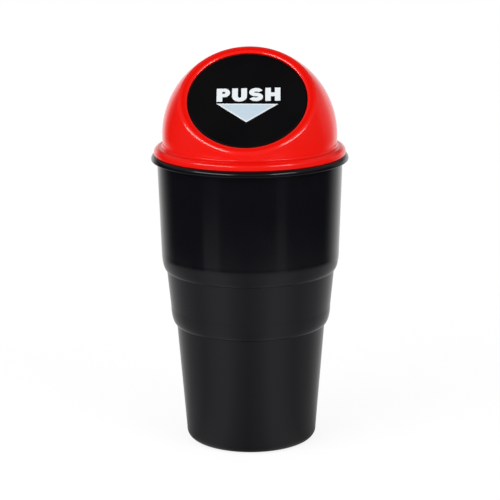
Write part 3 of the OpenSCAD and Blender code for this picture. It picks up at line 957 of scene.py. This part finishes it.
# The white serves both the letters' print and the painted highlight round the arrow's edge
white_print_and_edge_highlight = print_ink("white_print_and_edge_highlight", srgb(246, 251, 253), srgb(236, 243, 247), 0.35, 0.0)
pale_foil = print_ink("pale_silver_foil", srgb(218, 236, 248), srgb(208, 227, 242), 0.3, 0.1)
arrow = place(arrow_mesh, white_print_and_edge_highlight, pale_foil)
centres = np.zeros(len(arrow_mesh.polygons) * 3)
arrow_mesh.polygons.foreach_get("center", centres)
centres = centres.reshape(-1, 3) / MM
# How far each face lies inside the arrow's top side and inside its slanting sides
aside = np.abs(centres[:, 0] - ARROW_X)
up_slope = centres[:, 1] * np.cos(FLAT_TURN) + (centres[:, 2] - DOME_Z) * np.sin(FLAT_TURN)
top_gap = ARROW_TOP - up_slope
below = (ARROW_HALF - aside) * ARROW_L / ARROW_HALF - top_gap
slant_gap = below * ARROW_HALF / np.hypot(ARROW_L, ARROW_HALF)
# Faces in the band round the edge take the white, a painted highlight; those inside it take the foil
is_foil = np.minimum(top_gap, slant_gap) > ARROW_EDGE + 0.02
arrow_mesh.polygons.foreach_set("material_index", is_foil.astype(np.int32))
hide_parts("push_arrow")
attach(arrow, "flap")


# The legend over the arrow. The plain word for what the flap wants, printed in
# white block capitals of even strokes.
INK_TOP, INK_HALF = FACE_Z + 0.12, 0.11
LETTER_LEFT, LETTER_BASE = -13.6, -1.3
LETTER_TURN = np.radians(1.7)
LETTER_WIDE, LETTER_TALL = 0.99, 0.935
# Height of a capital and width of a curved stroke, before the letters are scaled
CAPITAL, STROKE = 7.9, 2.1


def stroke_outline(line, width):
    """Outline of a stroke of even width: the line moved to its left, then back along its right."""
    along = np.gradient(line, axis=0)
    along /= np.linalg.norm(along, axis=1, keepdims=True)
    left = np.stack([-along[:, 1], along[:, 0]], axis=-1) * width[:, None] / 2
    return np.concatenate([line + left, (line - left)[::-1]])


def ellipse_line(x, y, rx, ry, start, end, count=40):
    """Points of an ellipse's arc: centre plus each radius times the cosine or sine of the degrees."""
    a = np.radians(np.linspace(start, end, count))
    return np.stack([x + rx * np.cos(a), y + ry * np.sin(a)], axis=-1)


u_line = np.concatenate([
    [[1.3, CAPITAL], [1.3, 6.0], [1.3, 4.5]],
    ellipse_line(3.35, 3.0, 2.05, 1.95, 180, 360),
    [[5.4, 4.5], [5.4, 6.0], [5.4, CAPITAL]],
])
u_along = np.gradient(u_line, axis=0)
u_width = STROKE + 0.5 * np.abs(u_along[:, 1]) / np.linalg.norm(u_along, axis=1)
s_line = np.concatenate([
    ellipse_line(3.2, 5.42, 2.05, 1.45, 18, 262),
    ellipse_line(3.2, 2.5, 2.1, 1.45, 82, -162),
])
p_outer = np.concatenate([
    [[0.0, 0.0], [2.6, 0.0], [2.6, 2.75]],
    ellipse_line(3.5, 5.32, 2.5, 2.58, -90, 90, 30),
    [[0.0, CAPITAL]],
])
p_counter = np.concatenate([
    [[2.55, 6.0]],
    ellipse_line(3.2, 5.35, 0.75, 0.65, 90, -90, 14),
    [[2.55, 4.7]],
])
h_outer = np.array([
    [0.0, 0.0], [2.5, 0.0], [2.5, 2.85], [4.3, 2.85], [4.3, 0.0], [6.8, 0.0],
    [6.8, CAPITAL], [4.3, CAPITAL], [4.3, 5.05], [2.5, 5.05], [2.5, CAPITAL], [0.0, CAPITAL],
])
letters = (
    ("letter_p", 0.0, [p_outer, p_counter]),
    ("letter_u", 6.95, [stroke_outline(u_line, u_width)]),
    ("letter_s", 14.55, [stroke_outline(s_line, np.full(len(s_line), STROKE))]),
    ("letter_h", 21.9, [h_outer]),
)
for name, left, outlines in letters:
    drawing = bpy.data.curves.new(name, "CURVE")
    drawing.dimensions = "2D"
    drawing.fill_mode = "BOTH"
    drawing.extrude = INK_HALF
    for outline in outlines:
        spline = drawing.splines.new("POLY")
        spline.points.add(len(outline) - 1)
        flat_points = np.zeros((len(outline), 4))
        flat_points[:, :2] = outline
        flat_points[:, 3] = 1.0
        spline.points.foreach_set("co", flat_points.ravel())
        spline.use_cyclic_u = True
    shape = bpy.data.objects.new(name + "_drawing", drawing)
    scene.collection.objects.link(shape)
    bpy.context.view_layer.update()
    letter_mesh = bpy.data.meshes.new_from_object(shape)
    letter_mesh.name = name
    bpy.data.objects.remove(shape)
    co = np.zeros(len(letter_mesh.vertices) * 3)
    letter_mesh.vertices.foreach_get("co", co)
    co = co.reshape(-1, 3)
    run, rise = LETTER_WIDE * (left + co[:, 0]), LETTER_TALL * co[:, 1]
    placed = out_of_flat(
        LETTER_LEFT + run * np.cos(LETTER_TURN) - rise * np.sin(LETTER_TURN),
        LETTER_BASE + run * np.sin(LETTER_TURN) + rise * np.cos(LETTER_TURN),
        INK_TOP - INK_HALF + co[:, 2],
    )
    letter_mesh.vertices.foreach_set("co", placed.ravel())
    letter_mesh.update()
    letter = place(letter_mesh, white_print_and_edge_highlight)
    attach(letter, "flap")
